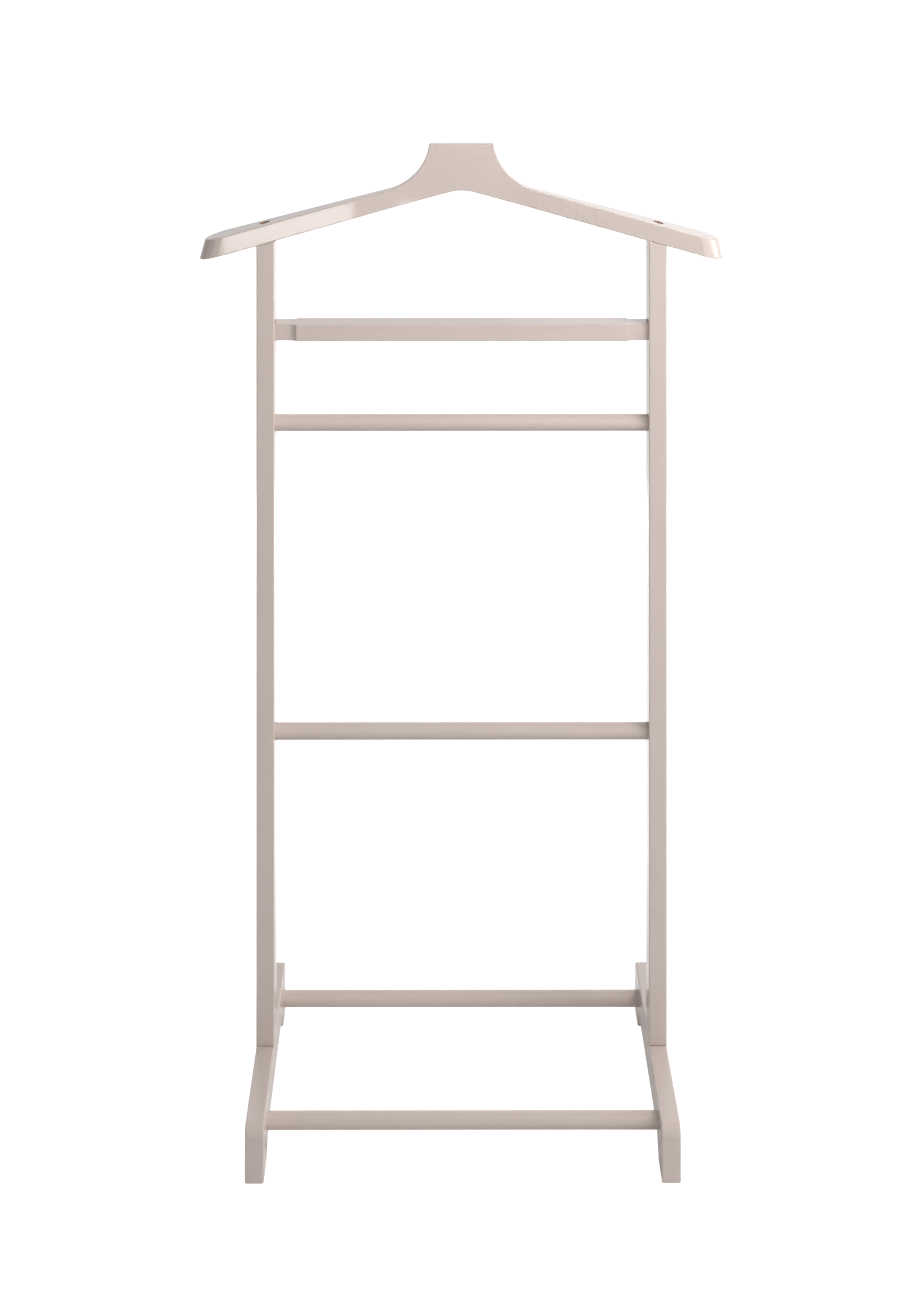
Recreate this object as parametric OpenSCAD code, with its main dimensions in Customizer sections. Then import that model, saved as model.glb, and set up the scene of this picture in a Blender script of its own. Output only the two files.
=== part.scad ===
// Clothes valet stand in painted wood: two sled feet, two posts, a shoulder hanger across the
// post tops, a flat trouser bar and four round dowels. Millimetres, +Z up, front faces -Y,
// origin on the floor under the middle of the base.

/* [Base] */
// Width over the outer faces of the two feet
base_w = 443; // [360:1:500]
// Thickness of a foot, side to side
foot_w = 19.5; // [18:0.5:30]
// Length of a foot, front to back
foot_l = 343; // [280:1:450]
// Height of a foot's flat top above the floor
foot_h = 57.5; // [50:0.5:80]
// Radius of the top front and top rear corners of a foot
nose_r = 12; // [4:0.5:18]
// Height of the arch under a foot
arch_h = 21; // [8:0.5:22]
// Length of floor that each toe rests on
toe_l = 40; // [20:1:60]
// Slope of the arch's two ends, from the floor
arch_slope = 45; // [35:1:80]
// Radius in the arch's two upper corners
arch_r = 8; // [2:0.5:14]

/* [Posts] */
// Thickness of a post, side to side
post_w = 19.5; // [18:0.5:30]
// Depth of a post, front to back
post_d = 38; // [34:0.5:60]

/* [Rails] */
// Diameter of the two round rails between the posts
rail_d = 18; // [14:0.5:24]
// Distance from the trouser bar's centre down to the upper round rail's centre
upper_rail_drop = 101; // [60:1:140]
// Height of the lower round rail's centre
lower_rail_z = 390; // [200:1:520]
// Diameter of the two stretchers between the feet
stretcher_d = 18; // [14:0.5:22]
// Height of the stretchers' centres
stretcher_z = 36.5; // [32:0.5:40]
// Distance from a foot's end to the centre of the stretcher near it
stretcher_inset = 49.5; // [30:0.5:90]
// Depth of the round sockets that hold rails and stretchers
socket_depth = 8; // [4:0.5:9]

/* [Trouser bar] */
// Distance from the top of the hanger's neck down to the trouser bar's centre
trouser_bar_drop = 202; // [180:1:240]
// Height of the trouser bar's section
bar_h = 18; // [12:0.5:24]
// Depth of the trouser bar's middle
bar_d = 33.5; // [27:0.5:38]
// Depth of the trouser bar's narrowed ends
bar_end_d = 24.5; // [21:0.5:25]
// Length of each narrowed end, from the post to the end of its cove
bar_end_l = 15.5; // [8:0.5:40]
// Length of the cove from a narrowed end to the full depth
bar_cove_l = 8; // [4:0.5:16]

/* [Hanger] */
// Height of the top of the hanger's neck
stand_h = 1028; // [960:1:1150]
// Height from the underside's apex to the top of the neck
neck_h = 48.5; // [42:0.5:70]
// Width across the top of the neck
neck_w = 70; // [50:1:100]
// Thickness of the neck, front to back
neck_t = 12; // [10:0.5:24]
// Width from arm tip to arm tip
hanger_w = 569; // [520:1:640]
// Slope of the arms below the horizontal
arm_slope = 15; // [10:0.1:20]
// Thickness of an arm, square to its slope
arm_h = 19.5; // [17:0.1:26]
// Depth of an arm where its round end starts
arm_tip_d = 44; // [40:0.5:60]
// Inward lean of the arms' round ends, from the vertical
tip_lean = 15; // [0:1:20]
// Distance from the middle at which the arms start to get deeper
taper_start = 55; // [30:1:90]
// Radius of the blend from the flat neck into the deepening arms
taper_r = 500; // [100:10:600]
// Radius of the coves between neck and arms
cove_r = 60; // [50:1:90]
// Radius of the rounding at the underside's apex
apex_r = 50; // [10:1:120]

/* [Screws] */
// Diameter of every screw's shank
screw_d = 5; // [4:0.1:6]
// Diameter of every screw's head
screw_head_d = 9; // [7.5:0.1:10]
// Height of every screw's head
screw_head_h = 3.5; // [2.5:0.1:4]
// Width across the flats of the hexagon socket in a head
hex_w = 4; // [3:0.1:5]
// Depth of the hexagon socket
hex_depth = 2; // [1:0.1:2.3]
// Length of a screw's pointed end
screw_tip_l = 6; // [3:0.5:9]
// Diameter of the counterbores
counterbore_d = 11.5; // [10.5:0.1:14]
// Depth of the counterbores in the outer faces of posts and feet
side_counterbore = 5; // [4:0.1:6]
// Depth of the counterbore under each foot
foot_counterbore = 10; // [5:0.5:18]
// Wood left under a hanger screw's head
hanger_web = 11; // [8:0.5:13]
// Length of a hanger screw below its head
hanger_screw_l = 45; // [30:1:60]
// Distance of a hanger screw outward from the middle of its post
hanger_screw_out = 2; // [0:0.5:3]
// Length of a rail screw or stretcher screw below its head
side_screw_l = 40; // [25:1:60]
// Length of a screw that joins a foot to its post, below its head
post_screw_l = 62; // [45:1:90]

/* [Dowel pins] */
// Diameter of the pins between foot and post
post_pin_d = 8; // [6:0.5:8]
// Length of the pins between foot and post
post_pin_l = 40; // [24:1:50]
// Distance of those pins from the middle of the post, front and back
post_pin_offset = 12; // [10:0.5:13]
// Diameter of the pins between trouser bar and post
bar_pin_d = 6; // [4:0.5:8]
// Length of the pins between trouser bar and post
bar_pin_l = 24; // [16:1:36]
// Length of each such pin that lies in the post
bar_pin_in_post = 10; // [5:0.5:12]
// Distance of those pins from the middle of the bar's end
bar_pin_offset = 5.5; // [4.5:0.5:6]

/* [Clearances] */
// Radial gap between a rail or stretcher and its socket
socket_gap = 0.1; // [0.05:0.05:0.3]
// Radial gap between a dowel pin and its hole
pin_gap = 0.1; // [0.05:0.05:0.2]
// Radial gap between a screw and the hole that it passes through
screw_gap = 0.25; // [0.1:0.05:0.5]
// Radial gap between a screw and the pilot hole that it bites in
pilot_gap = 0.05; // [0.05:0.01:0.1]
// Depth left free past the end of every pin and screw
end_gap = 1.5; // [0.5:0.5:3]

/* [Hidden] */
$fn = 96;
// Reach of a cutting shape past the face that it cuts
over = 1;
// Chords in the arc that blends the neck into an arm
taper_steps = 6;
// Sides of a hexagon socket
hex_sides = 6;

LEFT = -1;
RIGHT = 1;
FRONT = -1;
REAR = 1;

// Paint, steel and bare beech
paint_color = [0.78, 0.72, 0.68];
steel_color = [0.72, 0.73, 0.75];
beech_color = [0.80, 0.62, 0.43];

// Sideways places, all for the right-hand side
base_x = base_w / 2;
foot_in_x = base_x - foot_w;
post_in_x = base_x - post_w;
post_mid_x = base_x - post_w / 2;
side_seat_x = base_x - side_counterbore;
hanger_screw_x = post_mid_x + hanger_screw_out;

// Feet: places along a foot, and the corner where an end of the arch meets its underside
stretcher_y = foot_l / 2 - stretcher_inset;
foot_seat_z = arch_h + foot_counterbore;
arch_floor_y = foot_l / 2 - toe_l;
arch_top_y = arch_floor_y - arch_h / tan(arch_slope);
arch_tangent = arch_r * tan(arch_slope / 2);

// Heights of the trouser bar and the upper rail, which hang below the hanger by set distances
trouser_bar_z = stand_h - trouser_bar_drop;
upper_rail_z = trouser_bar_z - upper_rail_drop;

// Trouser bar: coves that reach from the narrowed ends to the full depth
bar_recess = (bar_d - bar_end_d) / 2;
bar_cove_r = (pow(bar_cove_l, 2) + pow(bar_recess, 2)) / (2 * bar_recess);
bar_full_x = post_in_x - bar_end_l;

// Hanger: the underside and the upper line run down from their apexes on each side
apex_z = stand_h - neck_h;
upper_apex_z = apex_z + arm_h / cos(arm_slope);
function under_z(x) = apex_z - x * tan(arm_slope);
function upper_z(x) = upper_apex_z - x * tan(arm_slope);
hanger_seat_z = under_z(hanger_screw_x) + hanger_web;

// Hanger: round ends of the arms, and the plan angle at which the arms get deeper
tip_x = hanger_w / 2;
tip_r = arm_tip_d / 2;
taper_angle = atan((tip_r - neck_t / 2) / (tip_x - tip_r - taper_start));

// Hanger: centre of the right-hand cove, which runs from the neck's corner into the upper line
neck_x = neck_w / 2;
corner_above = neck_x * sin(arm_slope) + (stand_h - upper_apex_z) * cos(arm_slope);
cove_across = cove_r - corner_above;
cove_along = sqrt(pow(cove_r, 2) - pow(cove_across, 2));
cove_x = neck_x + cove_across * sin(arm_slope) + cove_along * cos(arm_slope);
cove_z = stand_h + cove_across * cos(arm_slope) - cove_along * sin(arm_slope);
cove_end_x = cove_x - cove_r * sin(arm_slope);

// Points of an arc about a centre, from angle a0 to angle a1
function arc(centre, r, a0, a1, steps) = [
    for (i = [0:steps])
        let (a = a0 + (a1 - a0) * i / steps)
        [centre[0] + r * cos(a), centre[1] + r * sin(a)]
];

// A line of points, then the same points backwards, each multiplied by flip
function with_mirror_image(points, flip) = concat(points, [
    for (i = [len(points) - 1:-1:0]) [points[i][0] * flip[0], points[i][1] * flip[1]]
]);

// Puts what is drawn for the right-hand side on the given side
module on_side(side) {
    mirror([side == LEFT ? 1 : 0, 0, 0]) children();
}

module on_both_sides() {
    for (side = [LEFT, RIGHT]) on_side(side) children();
}

module at_front_and_rear(y) {
    for (end = [FRONT, REAR]) translate([0, end * y, 0]) children();
}

// A round solid along X, from x0 to x1
module rod_x(d, x0, x1) {
    translate([x0, 0, 0]) rotate([0, 90, 0]) cylinder(d = d, h = x1 - x0);
}

// A round solid along Z, from z0 to z1
module rod_z(d, z0, z1) {
    translate([0, 0, z0]) cylinder(d = d, h = z1 - z0);
}

// A wood screw, with the underside of its head at the origin and its point down
module screw(l) {
    difference() {
        union() {
            rod_z(screw_head_d, 0, screw_head_h);
            rod_z(screw_d, screw_tip_l - l, 0);
            translate([0, 0, -l]) cylinder(d1 = 0, d2 = screw_d, h = screw_tip_l);
        }
        translate([0, 0, screw_head_h - hex_depth]) {
            cylinder(d = hex_w / cos(180 / hex_sides), h = hex_depth + over, $fn = hex_sides);
        }
    }
}

// A screw driven inward from the right-hand outer face
module side_screw() {
    translate([side_seat_x, 0, 0]) rotate([0, 90, 0]) screw(side_screw_l);
}

// What a rail or stretcher takes out of a post or foot: socket, screw hole and counterbore
module side_joint_cut(d, in_x) {
    rod_x(d + 2 * socket_gap, in_x - over, in_x + socket_depth);
    rod_x(screw_d + 2 * screw_gap, in_x, base_x);
    rod_x(counterbore_d, side_seat_x, base_x + over);
}

// A round member across the stand, with a pilot hole in each end
module cross_dowel(d, in_x) {
    end_x = in_x + socket_depth;
    difference() {
        rod_x(d, -end_x, end_x);
        on_both_sides() {
            rod_x(screw_d + 2 * pilot_gap, side_seat_x - side_screw_l - end_gap, end_x + over);
        }
    }
}

// Side view of the arch under a foot, its upper corners rounded
module arch_profile() {
    round_y = arch_top_y - arch_tangent;
    slope_y = arch_top_y + arch_tangent * cos(arch_slope);
    slope_z = arch_h - arch_tangent * sin(arch_slope);
    below_y = arch_floor_y + over / tan(arch_slope);
    polygon([
        [-below_y, -over], [-slope_y, slope_z], [-round_y, arch_h],
        [round_y, arch_h], [slope_y, slope_z], [below_y, -over]
    ]);
    for (end = [FRONT, REAR]) translate([end * round_y, arch_h - arch_r]) circle(r = arch_r);
}

// Side view of a foot: flat top with round corners, and two toes with the arch between them
module foot_profile() {
    corner_y = foot_l / 2 - nose_r;
    difference() {
        union() {
            translate([-foot_l / 2, 0]) square([foot_l, foot_h - nose_r]);
            translate([-corner_y, 0]) square([2 * corner_y, foot_h]);
            for (end = [FRONT, REAR]) {
                translate([end * corner_y, foot_h - nose_r]) circle(r = nose_r);
            }
        }
        arch_profile();
    }
}

module foot(side) {
    pin_bottom_z = foot_h - post_pin_l / 2 - end_gap;
    color(paint_color) on_side(side) difference() {
        translate([foot_in_x, 0, 0]) rotate([90, 0, 90]) {
            linear_extrude(height = foot_w) foot_profile();
        }
        at_front_and_rear(stretcher_y) translate([0, 0, stretcher_z]) {
            side_joint_cut(stretcher_d, foot_in_x);
        }
        translate([post_mid_x, 0, 0]) {
            rod_z(screw_d + 2 * screw_gap, arch_h - over, foot_h + over);
            rod_z(counterbore_d, arch_h - over, foot_seat_z);
            at_front_and_rear(post_pin_offset) {
                rod_z(post_pin_d + 2 * pin_gap, pin_bottom_z, foot_h + over);
            }
        }
    }
}

// Front view of the right-hand post, its top cut to the slope of the hanger's underside
module post_profile() {
    polygon([
        [post_in_x, foot_h], [base_x, foot_h],
        [base_x, under_z(base_x)], [post_in_x, under_z(post_in_x)]
    ]);
}

module post(side) {
    pin_top_z = foot_h + post_pin_l / 2 + end_gap;
    bar_pin_x = post_in_x + bar_pin_in_post + end_gap;
    color(paint_color) on_side(side) difference() {
        translate([0, post_d / 2, 0]) rotate([90, 0, 0]) {
            linear_extrude(height = post_d) post_profile();
        }
        for (z = [upper_rail_z, lower_rail_z]) {
            translate([0, 0, z]) side_joint_cut(rail_d, post_in_x);
        }
        at_front_and_rear(bar_pin_offset) translate([0, 0, trouser_bar_z]) {
            rod_x(bar_pin_d + 2 * pin_gap, post_in_x - over, bar_pin_x);
        }
        translate([post_mid_x, 0, 0]) {
            rod_z(screw_d + 2 * pilot_gap, foot_h - over, foot_seat_z + post_screw_l + end_gap);
            at_front_and_rear(post_pin_offset) {
                rod_z(post_pin_d + 2 * pin_gap, foot_h - over, pin_top_z);
            }
        }
        translate([hanger_screw_x, 0, hanger_seat_z]) {
            rod_z(screw_d + 2 * pilot_gap, -hanger_screw_l - end_gap, 0);
        }
    }
}

// Front view of the hanger: neck, coves and sloping arms that run on past their tips
module hanger_outline() {
    arm_end_x = tip_x + over;
    round_x = apex_r * sin(arm_slope);
    difference() {
        polygon(with_mirror_image([
            [round_x, under_z(round_x)], [arm_end_x, under_z(arm_end_x)],
            [arm_end_x, upper_z(arm_end_x)], [cove_end_x, upper_z(cove_end_x)],
            [neck_x, stand_h]
        ], [-1, 1]));
        on_both_sides() translate([cove_x, cove_z]) circle(r = cove_r);
        translate([0, apex_z - apex_r / cos(arm_slope)]) circle(r = apex_r);
    }
}

// Plan of the hanger: an even neck that blends into arms that get deeper towards the tips
module hanger_plan() {
    blend_centre = [taper_start - taper_r * tan(taper_angle / 2), neck_t / 2 + taper_r];
    blend = arc(blend_centre, taper_r, -90, taper_angle - 90, taper_steps);
    far_x = tip_x + over;
    far_y = neck_t / 2 + (far_x - taper_start) * tan(taper_angle);
    right_half = with_mirror_image(concat(blend, [[far_x, far_y]]), [1, -1]);
    polygon(with_mirror_image(right_half, [-1, 1]));
}

// A deep board whose right-hand end is the round, leaning end of an arm
module round_ended_board() {
    reach = 2 * hanger_w;
    translate([tip_x, 0, under_z(tip_x)]) rotate([0, -tip_lean, 0]) {
        linear_extrude(height = 2 * reach, center = true) {
            translate([-reach, -tip_r]) square([reach - tip_r, 2 * tip_r]);
            translate([-tip_r, 0]) circle(r = tip_r);
        }
    }
}

module hanger() {
    color(paint_color) difference() {
        intersection() {
            rotate([90, 0, 0]) {
                linear_extrude(height = 2 * arm_tip_d, center = true) hanger_outline();
            }
            linear_extrude(height = stand_h + over) hanger_plan();
            round_ended_board();
            on_side(LEFT) round_ended_board();
        }
        on_both_sides() translate([hanger_screw_x, 0, 0]) {
            rod_z(screw_d + 2 * screw_gap, under_z(tip_x), stand_h);
            rod_z(counterbore_d, hanger_seat_z, stand_h);
        }
    }
}

// Plan of the trouser bar, with a cove at each corner of its full depth
module trouser_bar_plan() {
    difference() {
        union() {
            square([2 * post_in_x, bar_end_d], center = true);
            square([2 * bar_full_x, bar_d], center = true);
        }
        on_both_sides() for (end = [FRONT, REAR]) {
            translate([bar_full_x, end * (bar_end_d / 2 + bar_cove_r)]) circle(r = bar_cove_r);
        }
    }
}

module trouser_bar() {
    hole_x = post_in_x + bar_pin_in_post - bar_pin_l - end_gap;
    color(paint_color) translate([0, 0, trouser_bar_z]) difference() {
        linear_extrude(height = bar_h, center = true) trouser_bar_plan();
        on_both_sides() at_front_and_rear(bar_pin_offset) {
            rod_x(bar_pin_d + 2 * pin_gap, hole_x, post_in_x + over);
        }
    }
}

module rail(z) {
    color(paint_color) translate([0, 0, z]) cross_dowel(rail_d, post_in_x);
}

module stretcher(end) {
    color(paint_color) translate([0, end * stretcher_y, stretcher_z]) {
        cross_dowel(stretcher_d, foot_in_x);
    }
}

module hanger_screw(side) {
    color(steel_color) on_side(side) translate([hanger_screw_x, 0, hanger_seat_z]) {
        screw(hanger_screw_l);
    }
}

module rail_screw(side, z) {
    color(steel_color) on_side(side) translate([0, 0, z]) side_screw();
}

module stretcher_screw(side, end) {
    color(steel_color) on_side(side) {
        translate([0, end * stretcher_y, stretcher_z]) side_screw();
    }
}

module post_screw(side) {
    color(steel_color) on_side(side) translate([post_mid_x, 0, foot_seat_z]) {
        rotate([180, 0, 0]) screw(post_screw_l);
    }
}

module post_pins(side) {
    color(beech_color) on_side(side) translate([post_mid_x, 0, foot_h]) {
        at_front_and_rear(post_pin_offset) rod_z(post_pin_d, -post_pin_l / 2, post_pin_l / 2);
    }
}

module bar_pins(side) {
    color(beech_color) on_side(side) {
        translate([post_in_x + bar_pin_in_post, 0, trouser_bar_z]) {
            at_front_and_rear(bar_pin_offset) rod_x(bar_pin_d, -bar_pin_l, 0);
        }
    }
}

foot(LEFT);  // left_foot
foot(RIGHT);  // right_foot
post(LEFT);  // left_post
post(RIGHT);  // right_post
hanger();
trouser_bar();
rail(upper_rail_z);  // upper_rail
rail(lower_rail_z);  // lower_rail
stretcher(FRONT);  // front_stretcher
stretcher(REAR);  // rear_stretcher
hanger_screw(LEFT);  // left_hanger_screw
hanger_screw(RIGHT);  // right_hanger_screw
rail_screw(LEFT, upper_rail_z);  // left_upper_rail_screw
rail_screw(RIGHT, upper_rail_z);  // right_upper_rail_screw
rail_screw(LEFT, lower_rail_z);  // left_lower_rail_screw
rail_screw(RIGHT, lower_rail_z);  // right_lower_rail_screw
stretcher_screw(LEFT, FRONT);  // left_front_stretcher_screw
stretcher_screw(RIGHT, FRONT);  // right_front_stretcher_screw
stretcher_screw(LEFT, REAR);  // left_rear_stretcher_screw
stretcher_screw(RIGHT, REAR);  // right_rear_stretcher_screw
post_screw(LEFT);  // left_post_screw
post_screw(RIGHT);  // right_post_screw
post_pins(LEFT);  // left_post_pins
post_pins(RIGHT);  // right_post_pins
bar_pins(LEFT);  // left_bar_pins
bar_pins(RIGHT);  // right_bar_pins
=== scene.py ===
"""Looks of a painted wooden clothes valet stand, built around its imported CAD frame."""

import math

import bpy
from mathutils import Matrix, Vector


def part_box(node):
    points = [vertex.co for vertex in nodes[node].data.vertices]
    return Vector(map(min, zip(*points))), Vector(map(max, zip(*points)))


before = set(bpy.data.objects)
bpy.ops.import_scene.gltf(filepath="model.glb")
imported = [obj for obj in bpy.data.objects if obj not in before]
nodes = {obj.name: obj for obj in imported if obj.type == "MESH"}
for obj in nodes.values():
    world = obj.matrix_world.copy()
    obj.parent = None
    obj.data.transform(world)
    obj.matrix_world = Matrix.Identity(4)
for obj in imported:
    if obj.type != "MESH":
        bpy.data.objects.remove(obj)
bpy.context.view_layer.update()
scene = bpy.context.scene

# Photograph: its height in pixels, and the view that was fitted to it. The horizon is counted
# down from the top edge, so it lies above the frame.
PHOTO_H = 1304
FOCAL_PX = 2400
HORIZON_PX = -240.6
CAMERA_AT = Vector((-0.0231, -2.607, 1.4453))
CAMERA_YAW = math.radians(0.12)
CAMERA_SHIFT_X = 0.0063

# Board edges, in metres
POST_ARRIS = 0.0014
BAR_ARRIS = 0.0010
FOOT_ARRIS = 0.0016
HANGER_ARRIS = 0.0013
EDGE_SEGMENTS = 3
EDGE_ANGLE = math.radians(32)
WELD_DISTANCE = 0.00001
FLAT_ANGLE = math.radians(0.2)
# A flat face with at least this many corners has a bore in it
BORED_FACE_CORNERS = 40
# Faces whose areas differ by more, in square metres, don't bend the larger one's normals
SAME_AREA = 0.000005
# Above 50, larger faces count for more in the normals
LARGE_FACE_WEIGHT = 100

# Radius around a counterbore's axis in which the wood is bare
BARE_RADIUS = 0.0059
# Radius around a bore's axis in which its rim stays sharp
SHARP_RADIUS = {"foot": 0.0100, "hanger": 0.0075}


# ---------------------------------------------------------------- node helpers

# Noise seldom leaves this range
NOISE_LOW = 0.3
NOISE_HIGH = 0.7


def new_material(name):
    """A material with an empty node tree, and its output node."""
    material = bpy.data.materials.new(name)
    material.use_nodes = True
    tree = material.node_tree
    tree.nodes.clear()
    return material, tree, tree.nodes.new("ShaderNodeOutputMaterial")


def make(tree, kind, inputs=None, **settings):
    """A node with its settings and with its inputs set or linked."""
    made = tree.nodes.new(kind)
    for key, value in settings.items():
        setattr(made, key, value)
    for key, value in (inputs or {}).items():
        if isinstance(value, bpy.types.NodeSocket):
            tree.links.new(value, made.inputs[key])
        else:
            made.inputs[key].default_value = value
    return made


def math_node(tree, operation, a, b=0.0, c=0.0):
    """The output of a maths node."""
    return make(tree, "ShaderNodeMath", {0: a, 1: b, 2: c}, operation=operation).outputs[0]


def noise(tree, vector, scale, detail=2.0, roughness=0.5):
    """Noise from 0 to 1, at the given number of features per metre along each axis."""
    at = make(tree, "ShaderNodeVectorMath", {0: vector, 1: scale}, operation="MULTIPLY").outputs[0]
    made = make(tree, "ShaderNodeTexNoise", {
        "Vector": at, "Scale": 1.0, "Detail": detail, "Roughness": roughness})
    return made.outputs["Fac"]


def spread(tree, value, low, high):
    """Turns noise into the range low to high."""
    return make(tree, "ShaderNodeMapRange", {
        "Value": value, "From Min": NOISE_LOW, "From Max": NOISE_HIGH,
        "To Min": low, "To Max": high}).outputs["Result"]


def mix_color(tree, factor, a, b):
    """The colour between a and b, which is b where the factor is 1."""
    made = make(tree, "ShaderNodeMix", data_type="RGBA")
    for key, value in (("Factor_Float", factor), ("A_Color", a), ("B_Color", b)):
        socket = next(entry for entry in made.inputs if entry.identifier == key)
        if isinstance(value, bpy.types.NodeSocket):
            tree.links.new(value, socket)
        else:
            socket.default_value = value
    return next(entry for entry in made.outputs if entry.identifier == "Result_Color")


# ---------------------------------------------------------------- materials

PAINT = (0.620, 0.530, 0.487, 1)
PAINT_DARK = (0.580, 0.490, 0.447, 1)
BARE_WOOD = (0.36, 0.17, 0.075, 1)
BARE_WOOD_DARK = (0.22, 0.095, 0.040, 1)
BEECH = (0.60, 0.37, 0.19, 1)
BEECH_DARK = (0.44, 0.25, 0.12, 1)
STEEL = (0.62, 0.63, 0.65, 1)
STEEL_DARK = (0.45, 0.46, 0.48, 1)

# Each finish: the range of its roughness, and the strength of its bumps
GLOSSY = ((0.02, 0.04), 0.01)
SATIN = ((0.17, 0.23), 0.10)
DULL = ((0.36, 0.46), 0.10)
PAINT_IOR = 1.48
STEEL_ROUGHNESS = (0.25, 0.42)
DOWEL_ROUGHNESS = (0.55, 0.7)

# Features per metre, across the grain and along it
PAINT_GRAIN = (900, 14)
PAINT_CLOUD = (30, 9)
DOWEL_GRAIN = (1500, 60)
GRAIN_DETAIL = 3
GRAIN_ROUGHNESS = 0.6
# Features per metre, the same along each axis
PAINT_PEEL = (320, 320, 320)
PAINT_SPECK = (2400, 2400, 2400)
STEEL_MARKS = (1800, 1800, 1800)
STEEL_CLOUD = (300, 300, 300)

# How far each noise takes the paint from PAINT towards PAINT_DARK
GRAIN_TONE = 0.35
CLOUD_TONE = 0.40
SPECK_TONE = 0.25
# Height of the paint's grain, where its orange peel has 1
GRAIN_HEIGHT = 0.15
# Bump distances in metres, and the strength of the bumps that no finish sets
PAINT_BUMP_DISTANCE = 0.0004
STEEL_BUMP_DISTANCE = 0.0002
STEEL_BUMP_STRENGTH = 0.15
DOWEL_BUMP_DISTANCE = 0.0003
DOWEL_BUMP_STRENGTH = 0.3


def along(axis, fine, coarse):
    """Noise scale that is fine across a board and coarse along it."""
    return tuple(coarse if i == "XYZ".index(axis) else fine for i in range(3))


def bore_mask(tree, point, bores, radius):
    """1 within the radius of the bores' axes, each (axis, x, y, z) for the right rear quarter."""
    folded = make(tree, "ShaderNodeVectorMath", {0: point}, operation="ABSOLUTE").outputs[0]
    mask = 0.0
    for axis, *centre in bores:
        away = make(tree, "ShaderNodeVectorMath", {0: folded, 1: centre}, operation="SUBTRACT")
        flat = make(tree, "ShaderNodeVectorMath", {
            0: away.outputs[0], 1: along(axis, 1, 0)}, operation="MULTIPLY")
        far = make(tree, "ShaderNodeVectorMath", {0: flat.outputs[0]}, operation="LENGTH")
        near = math_node(tree, "LESS_THAN", far.outputs["Value"], radius)
        mask = near if isinstance(mask, float) else math_node(tree, "MAXIMUM", mask, near)
    return mask


def painted_wood(name, axis, bores, finish):
    """Paint over a board whose grain runs along axis, with bare wood in its bores."""
    gloss, relief = finish
    material, tree, output = new_material(name)
    point = make(tree, "ShaderNodeTexCoord").outputs["Object"]
    grain = noise(tree, point, along(axis, *PAINT_GRAIN), GRAIN_DETAIL, GRAIN_ROUGHNESS)
    cloud = noise(tree, point, along(axis, *PAINT_CLOUD))
    peel = noise(tree, point, PAINT_PEEL, detail=1)
    speck = noise(tree, point, PAINT_SPECK, detail=1)

    tone = math_node(tree, "ADD", spread(tree, grain, 0, GRAIN_TONE),
                     spread(tree, cloud, 0, CLOUD_TONE))
    tone = math_node(tree, "ADD", tone, spread(tree, speck, 0, SPECK_TONE))
    color = mix_color(tree, tone, PAINT, PAINT_DARK)
    if bores:
        bare = mix_color(tree, spread(tree, grain, 0, 1), BARE_WOOD, BARE_WOOD_DARK)
        color = mix_color(tree, bore_mask(tree, point, bores, BARE_RADIUS), color, bare)

    height = math_node(tree, "MULTIPLY_ADD", grain, GRAIN_HEIGHT, peel)
    bump = make(tree, "ShaderNodeBump", {
        "Height": height, "Strength": relief, "Distance": PAINT_BUMP_DISTANCE})
    shader = make(tree, "ShaderNodeBsdfPrincipled", {
        "Base Color": color, "Roughness": spread(tree, peel, *gloss),
        "Normal": bump.outputs[0], "IOR": PAINT_IOR})
    tree.links.new(shader.outputs[0], output.inputs["Surface"])
    return material


def screw_steel():
    """Bright zinc-plated steel with fine turning marks."""
    material, tree, output = new_material("screw_steel")
    point = make(tree, "ShaderNodeTexCoord").outputs["Object"]
    marks = noise(tree, point, STEEL_MARKS)
    cloud = noise(tree, point, STEEL_CLOUD)
    bump = make(tree, "ShaderNodeBump", {
        "Height": marks, "Strength": STEEL_BUMP_STRENGTH, "Distance": STEEL_BUMP_DISTANCE})
    shader = make(tree, "ShaderNodeBsdfPrincipled", {
        "Base Color": mix_color(tree, spread(tree, cloud, 0, 1), STEEL, STEEL_DARK),
        "Roughness": spread(tree, marks, *STEEL_ROUGHNESS), "Metallic": 1.0,
        "Normal": bump.outputs[0]})
    tree.links.new(shader.outputs[0], output.inputs["Surface"])
    return material


def dowel_wood(name, axis):
    """Bare beech with its grain along axis."""
    material, tree, output = new_material(name)
    point = make(tree, "ShaderNodeTexCoord").outputs["Object"]
    grain = noise(tree, point, along(axis, *DOWEL_GRAIN), GRAIN_DETAIL, GRAIN_ROUGHNESS)
    bump = make(tree, "ShaderNodeBump", {
        "Height": grain, "Strength": DOWEL_BUMP_STRENGTH, "Distance": DOWEL_BUMP_DISTANCE})
    shader = make(tree, "ShaderNodeBsdfPrincipled", {
        "Base Color": mix_color(tree, spread(tree, grain, 0, 1), BEECH, BEECH_DARK),
        "Roughness": spread(tree, grain, *DOWEL_ROUGHNESS), "Normal": bump.outputs[0]})
    tree.links.new(shader.outputs[0], output.inputs["Surface"])
    return material


def white_background(tree, lit, seen, mirrored):
    """Adds white to a shader: seen by camera rays, mirrored by glossy and transmission rays."""
    path = make(tree, "ShaderNodeLightPath").outputs
    indirect = math_node(tree, "MAXIMUM", path["Is Glossy Ray"], path["Is Transmission Ray"])
    strength = math_node(tree, "ADD", math_node(tree, "MULTIPLY", path["Is Camera Ray"], seen),
                         math_node(tree, "MULTIPLY", indirect, mirrored))
    glow = make(tree, "ShaderNodeEmission", {"Color": (1, 1, 1, 1), "Strength": strength})
    return make(tree, "ShaderNodeAddShader", {0: lit, 1: glow.outputs[0]}).outputs[0]


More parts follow.
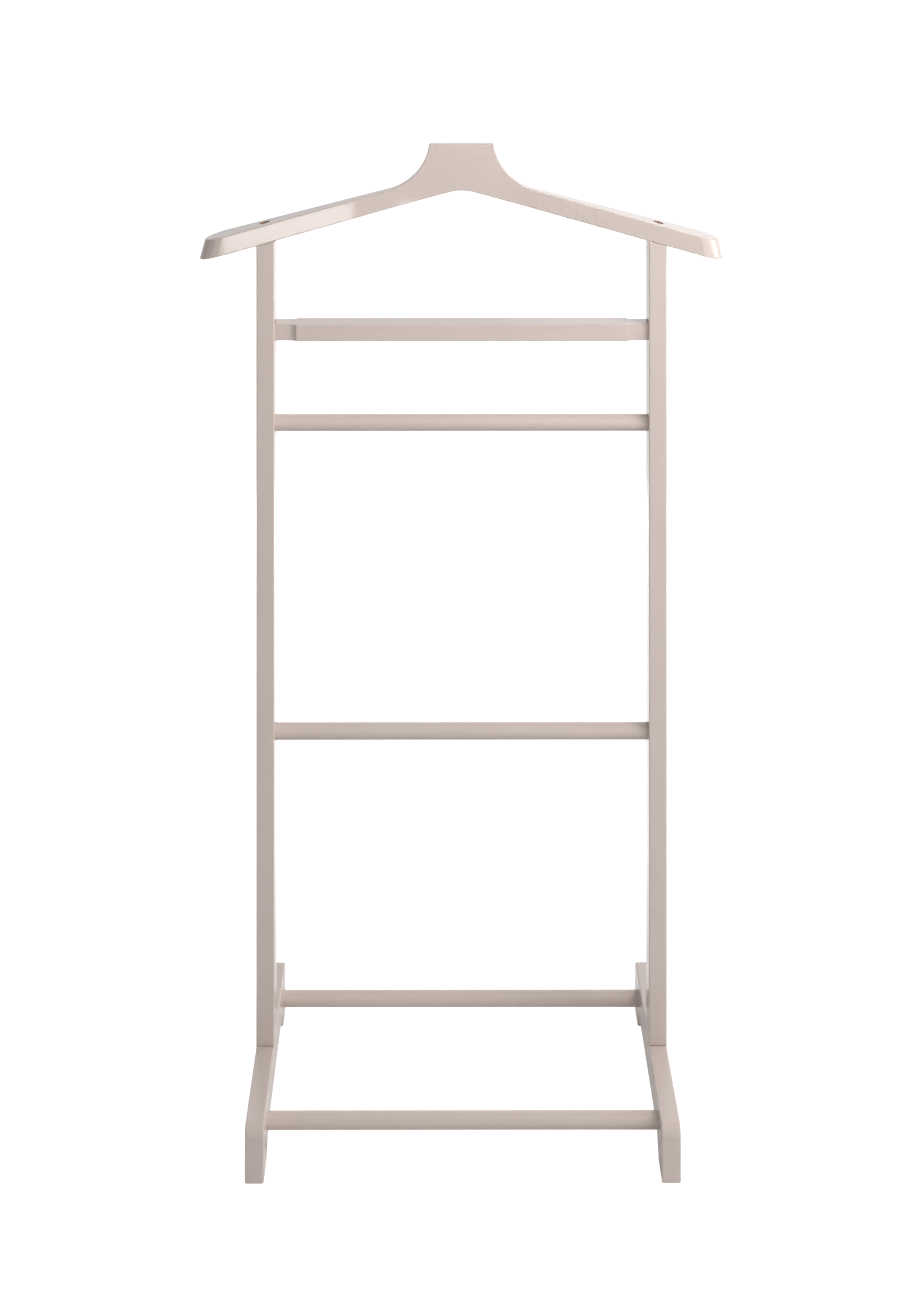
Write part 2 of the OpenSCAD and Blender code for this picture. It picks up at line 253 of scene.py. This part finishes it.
def front_to_rear(tree, vector, front_end, rear_start, front, rear):
    """A level that goes from front to rear as the vector's Y goes from front_end to rear_start.

    Where the vector's X is below -REAR_BLEND, only the share REAR_LEFT of it is left.
    """
    at = make(tree, "ShaderNodeSeparateXYZ", {0: vector}).outputs
    level = make(tree, "ShaderNodeMapRange", {
        "Value": at["Y"], "From Min": front_end, "From Max": rear_start,
        "To Min": front, "To Max": rear}).outputs["Result"]
    share = make(tree, "ShaderNodeMapRange", {
        "Value": at["X"], "From Min": -REAR_BLEND, "From Max": REAR_BLEND,
        "To Min": REAR_LEFT, "To Max": 1.0}).outputs["Result"]
    return math_node(tree, "MULTIPLY", level, share)


# ---------------------------------------------------------------- pieces

def arris_finder(node, side_axis, bores, radius):
    """Node group that marks a board's outline edges for the bevel, and leaves its bores' rims.

    With a side_axis, only edges in the two faces square to it are marked.
    """
    tree = bpy.data.node_groups.new(node + "_arris", "GeometryNodeTree")
    for way in ("INPUT", "OUTPUT"):
        tree.interface.new_socket("Geometry", in_out=way, socket_type="NodeSocketGeometry")
    start, end = tree.nodes.new("NodeGroupInput"), tree.nodes.new("NodeGroupOutput")
    point = tree.nodes.new("GeometryNodeInputPosition").outputs[0]
    angle = tree.nodes.new("GeometryNodeInputMeshEdgeAngle").outputs["Unsigned Angle"]
    weight = math_node(tree, "GREATER_THAN", angle, EDGE_ANGLE)
    if side_axis:
        low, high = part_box(node)
        i = "XYZ".index(side_axis)
        along_axis = make(tree, "ShaderNodeSeparateXYZ", {0: point}).outputs[i]
        away = math_node(tree, "SUBTRACT", along_axis, (low[i] + high[i]) / 2)
        away = math_node(tree, "ABSOLUTE", away)
        at_side = math_node(tree, "GREATER_THAN", away, (high[i] - low[i]) / 2 - WELD_DISTANCE)
        weight = math_node(tree, "MULTIPLY", weight, at_side)
    if bores:
        at_bore = bore_mask(tree, point, bores, radius)
        weight = math_node(tree, "MULTIPLY", weight, math_node(tree, "SUBTRACT", 1.0, at_bore))
    marked = make(tree, "GeometryNodeStoreNamedAttribute", {
        "Geometry": start.outputs[0], "Name": "bevel_weight_edge", "Value": weight},
        data_type="FLOAT", domain="EDGE")
    tree.links.new(marked.outputs[0], end.inputs[0])
    return tree


def dress(node, material):
    """Gives a piece its material."""
    for slot in nodes[node].material_slots:
        slot.material = material


def merge_flat_faces(piece):
    """Merges faces that lie in one plane."""
    flat = piece.modifiers.new("flat", "DECIMATE")
    flat.decimate_type = "DISSOLVE"
    flat.angle_limit = FLAT_ANGLE


def round_edges(node, arris, side_axis=None, bores=(), radius=0.0, merge_first=True):
    """Rounds a board's outline edges. A merge first would fold the feet's faces at their bores."""
    piece = nodes[node]
    weld = piece.modifiers.new("weld", "WELD")
    weld.merge_threshold = WELD_DISTANCE
    if merge_first:
        merge_flat_faces(piece)
        split = piece.modifiers.new("split", "TRIANGULATE")
        split.min_vertices = BORED_FACE_CORNERS
    finder = piece.modifiers.new("finder", "NODES")
    finder.node_group = arris_finder(node, side_axis, bores, radius)
    bevel = piece.modifiers.new("arris", "BEVEL")
    bevel.width = arris
    bevel.segments = EDGE_SEGMENTS
    bevel.limit_method = "WEIGHT"
    bevel.use_clamp_overlap = False
    bevel.loop_slide = False
    merge_flat_faces(piece)
    normals = piece.modifiers.new("normals", "WEIGHTED_NORMAL")
    normals.weight = LARGE_FACE_WEIGHT
    normals.thresh = SAME_AREA
    normals.keep_sharp = True


def dress_stand():
    """Gives every piece its material, and the boards their rounded edges."""
    stretcher_low, stretcher_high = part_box("rear_stretcher")
    stretcher = (stretcher_low + stretcher_high) / 2
    screw_low, screw_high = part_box("right_hanger_screw")
    hanger_screw = (screw_low + screw_high) / 2
    post_low, post_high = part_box("right_post")
    post = (post_low + post_high) / 2
    rail_z = [sum(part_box(node), Vector()).z / 2 for node in ("upper_rail", "lower_rail")]

    post_bores = [("X", 0, 0, z) for z in rail_z]
    stretcher_bores = [("X", 0, stretcher.y, stretcher.z)]
    foot_bores = stretcher_bores + [("Z", post.x, 0, 0)]
    hanger_bores = [("Z", hanger_screw.x, 0, 0)]
    post_paint = painted_wood("post_paint", "Z", post_bores, SATIN)
    foot_paint = painted_wood("foot_paint", "Y", foot_bores, SATIN)
    hanger_paint = painted_wood("hanger_paint", "X", hanger_bores, GLOSSY)
    bar_paint = painted_wood("bar_paint", "X", [], SATIN)
    rail_paint = painted_wood("rail_paint", "X", [], DULL)

    for side in ("left", "right"):
        dress(side + "_post", post_paint)
        round_edges(side + "_post", POST_ARRIS, "Y")
        dress(side + "_foot", foot_paint)
        round_edges(side + "_foot", FOOT_ARRIS, "X", stretcher_bores, SHARP_RADIUS["foot"],
                    merge_first=False)
    dress("hanger", hanger_paint)
    round_edges("hanger", HANGER_ARRIS, bores=hanger_bores, radius=SHARP_RADIUS["hanger"])
    dress("trouser_bar", bar_paint)
    round_edges("trouser_bar", BAR_ARRIS, "Z")
    for node in ("upper_rail", "lower_rail", "front_stretcher", "rear_stretcher"):
        dress(node, rail_paint)

    steel = screw_steel()
    for node in nodes:
        if node.endswith("_screw"):
            dress(node, steel)
    for side in ("left", "right"):
        dress(side + "_post_pins", dowel_wood(side + "_post_dowel", "Z"))
        dress(side + "_bar_pins", dowel_wood(side + "_bar_dowel", "X"))


# ---------------------------------------------------------------- stage, light and camera

FLOOR_RADIUS = 40.0
FLOOR_SIDES = 64
# The floor ends in front, where the hanger mirrors a low softbox
FLOOR_FRONT = -4.5
FLOOR_COLOR = (0.80, 0.80, 0.80, 1)
# White that the camera sees in the floor near the stand and far from it, and the distances
# between which it changes
FLOOR_SEEN_NEAR = 0.86
FLOOR_SEEN_FAR = 1.0
FLOOR_NEAR_END = 0.8
FLOOR_FAR_START = 2.4
# White that the pieces mirror of the floor in front and behind, and the Y between which it changes
FLOOR_MIRRORED_FRONT = 0.05
FLOOR_MIRRORED_REAR = 1.0
FLOOR_FRONT_END = 0.1
FLOOR_REAR_START = 0.6
# Light that the world gives
WORLD_LEVEL = 0.31
# White that the pieces mirror of the world in front, and the Y of a direction between which it
# changes to the white behind
WORLD_MIRRORED_FRONT = 0.0
WORLD_FRONT_END = 0.1
WORLD_REAR_START = 0.6
# Share of the mirrored white that is left on the left, and the X to either side of the middle
# between which it changes
REAR_LEFT = 0.80
REAR_BLEND = 0.15
AIM = Vector((0, 0, 0.55))


def add_floor():
    """A round floor from FLOOR_FRONT to far behind the stand, which the camera sees as white."""
    mesh = bpy.data.meshes.new("floor")
    turns = [2 * math.pi * (i + 0.5) / FLOOR_SIDES for i in range(FLOOR_SIDES)]
    rim = [(FLOOR_RADIUS * math.cos(turn), FLOOR_RADIUS * (1 + math.sin(turn)) + FLOOR_FRONT, 0)
           for turn in turns]
    mesh.from_pydata(rim, [], [tuple(range(FLOOR_SIDES))])
    floor = bpy.data.objects.new("floor", mesh)
    scene.collection.objects.link(floor)
    material, tree, output = new_material("floor")
    lit = make(tree, "ShaderNodeBsdfDiffuse", {"Color": FLOOR_COLOR}).outputs[0]
    point = make(tree, "ShaderNodeTexCoord").outputs["Object"]
    away = make(tree, "ShaderNodeVectorMath", {0: point}, operation="LENGTH").outputs["Value"]
    seen = make(tree, "ShaderNodeMapRange", {
        "Value": away, "From Min": FLOOR_NEAR_END, "From Max": FLOOR_FAR_START,
        "To Min": FLOOR_SEEN_NEAR, "To Max": FLOOR_SEEN_FAR}).outputs["Result"]
    mirrored = front_to_rear(tree, point, FLOOR_FRONT_END, FLOOR_REAR_START,
                             FLOOR_MIRRORED_FRONT, FLOOR_MIRRORED_REAR)
    shown = white_background(tree, lit, seen, mirrored)
    tree.links.new(shown, output.inputs["Surface"])
    mesh.materials.append(material)


def set_world():
    """White all round for the camera, and white behind and dark in front for mirroring pieces."""
    world = bpy.data.worlds.new("studio")
    world.use_nodes = True
    tree = world.node_tree
    tree.nodes.clear()
    output = tree.nodes.new("ShaderNodeOutputWorld")
    lit = make(tree, "ShaderNodeBackground", {
        "Color": (1, 1, 1, 1), "Strength": WORLD_LEVEL}).outputs[0]
    toward = make(tree, "ShaderNodeTexCoord").outputs["Generated"]
    mirrored = front_to_rear(tree, toward, WORLD_FRONT_END, WORLD_REAR_START,
                             WORLD_MIRRORED_FRONT, 1 - WORLD_LEVEL)
    shown = white_background(tree, lit, 1 - WORLD_LEVEL, mirrored)
    tree.links.new(shown, output.inputs["Surface"])
    scene.world = world


def add_softbox(name, at, size, power, aim=AIM, mirrored=True):
    """A rectangular light of a power in watts, which the camera doesn't see."""
    light = bpy.data.lights.new(name, "AREA")
    light.shape = "RECTANGLE"
    light.size, light.size_y = size
    light.energy = power
    softbox = bpy.data.objects.new(name, light)
    softbox.location = at
    softbox.visible_camera = False
    softbox.visible_glossy = mirrored
    softbox.rotation_euler = (aim - Vector(at)).to_track_quat("-Z", "Y").to_euler()
    scene.collection.objects.link(softbox)


def light_stand():
    """The softboxes. The strip, beyond the floor's front end, is for the hanger's left arm."""
    add_softbox("key", (1.0, -0.9, 1.6), (0.7, 0.7), 13.0, mirrored=False)
    add_softbox("front", (0.28, -1.2, 1.7), (0.7, 0.7), 8.8, mirrored=False)
    add_softbox("front_low", (1.33, -4.4, 0.2), (1.06, 0.27), 7.0)
    add_softbox("side_right", (2.07, 0.0, 0.75), (0.9, 1.1), 15)
    add_softbox("rear", (0.9, 1.4, 2.0), (0.9, 0.9), 4.8)
    add_softbox("rear_low", (0.0, 2.2, 0.6), (0.9, 0.9), 9, mirrored=False)
    add_softbox("rear_right", (0.75, 3.0, 1.33), (1.2, 0.5), 0.45,
                aim=Vector((0.2, 0, 0.95)))
    add_softbox("strip", (0.312, -5.5, -0.143), (0.436, 0.18), 1.7,
                aim=Vector((-0.2, 0, 0.93)))


def add_camera():
    """A view with upright posts, as a shift lens gives: the rig's matrix leans only the view axis."""
    drop = (PHOTO_H / 2 - HORIZON_PX) / FOCAL_PX
    slant = math.hypot(1, drop)
    right = Vector((math.cos(CAMERA_YAW), -math.sin(CAMERA_YAW), 0))
    back = Vector((-math.sin(CAMERA_YAW), -math.cos(CAMERA_YAW), drop)) / slant
    columns = (right, Vector((0, 0, 1)), back, CAMERA_AT)
    lean = Matrix.Identity(4)
    for i, column in enumerate(columns):
        for row in range(3):
            lean[row][i] = column[row]
    data = bpy.data.cameras.new("camera")
    data.lens = data.sensor_width * FOCAL_PX * slant / PHOTO_H
    data.shift_x = CAMERA_SHIFT_X
    camera = bpy.data.objects.new("camera", data)
    rig = bpy.data.objects.new("camera_rig", None)
    scene.collection.objects.link(rig)
    scene.collection.objects.link(camera)
    camera.parent = rig
    camera.matrix_parent_inverse = lean
    scene.camera = camera


add_camera()
dress_stand()
add_floor()
set_world()
light_stand()
scene.view_settings.view_transform = "Standard"
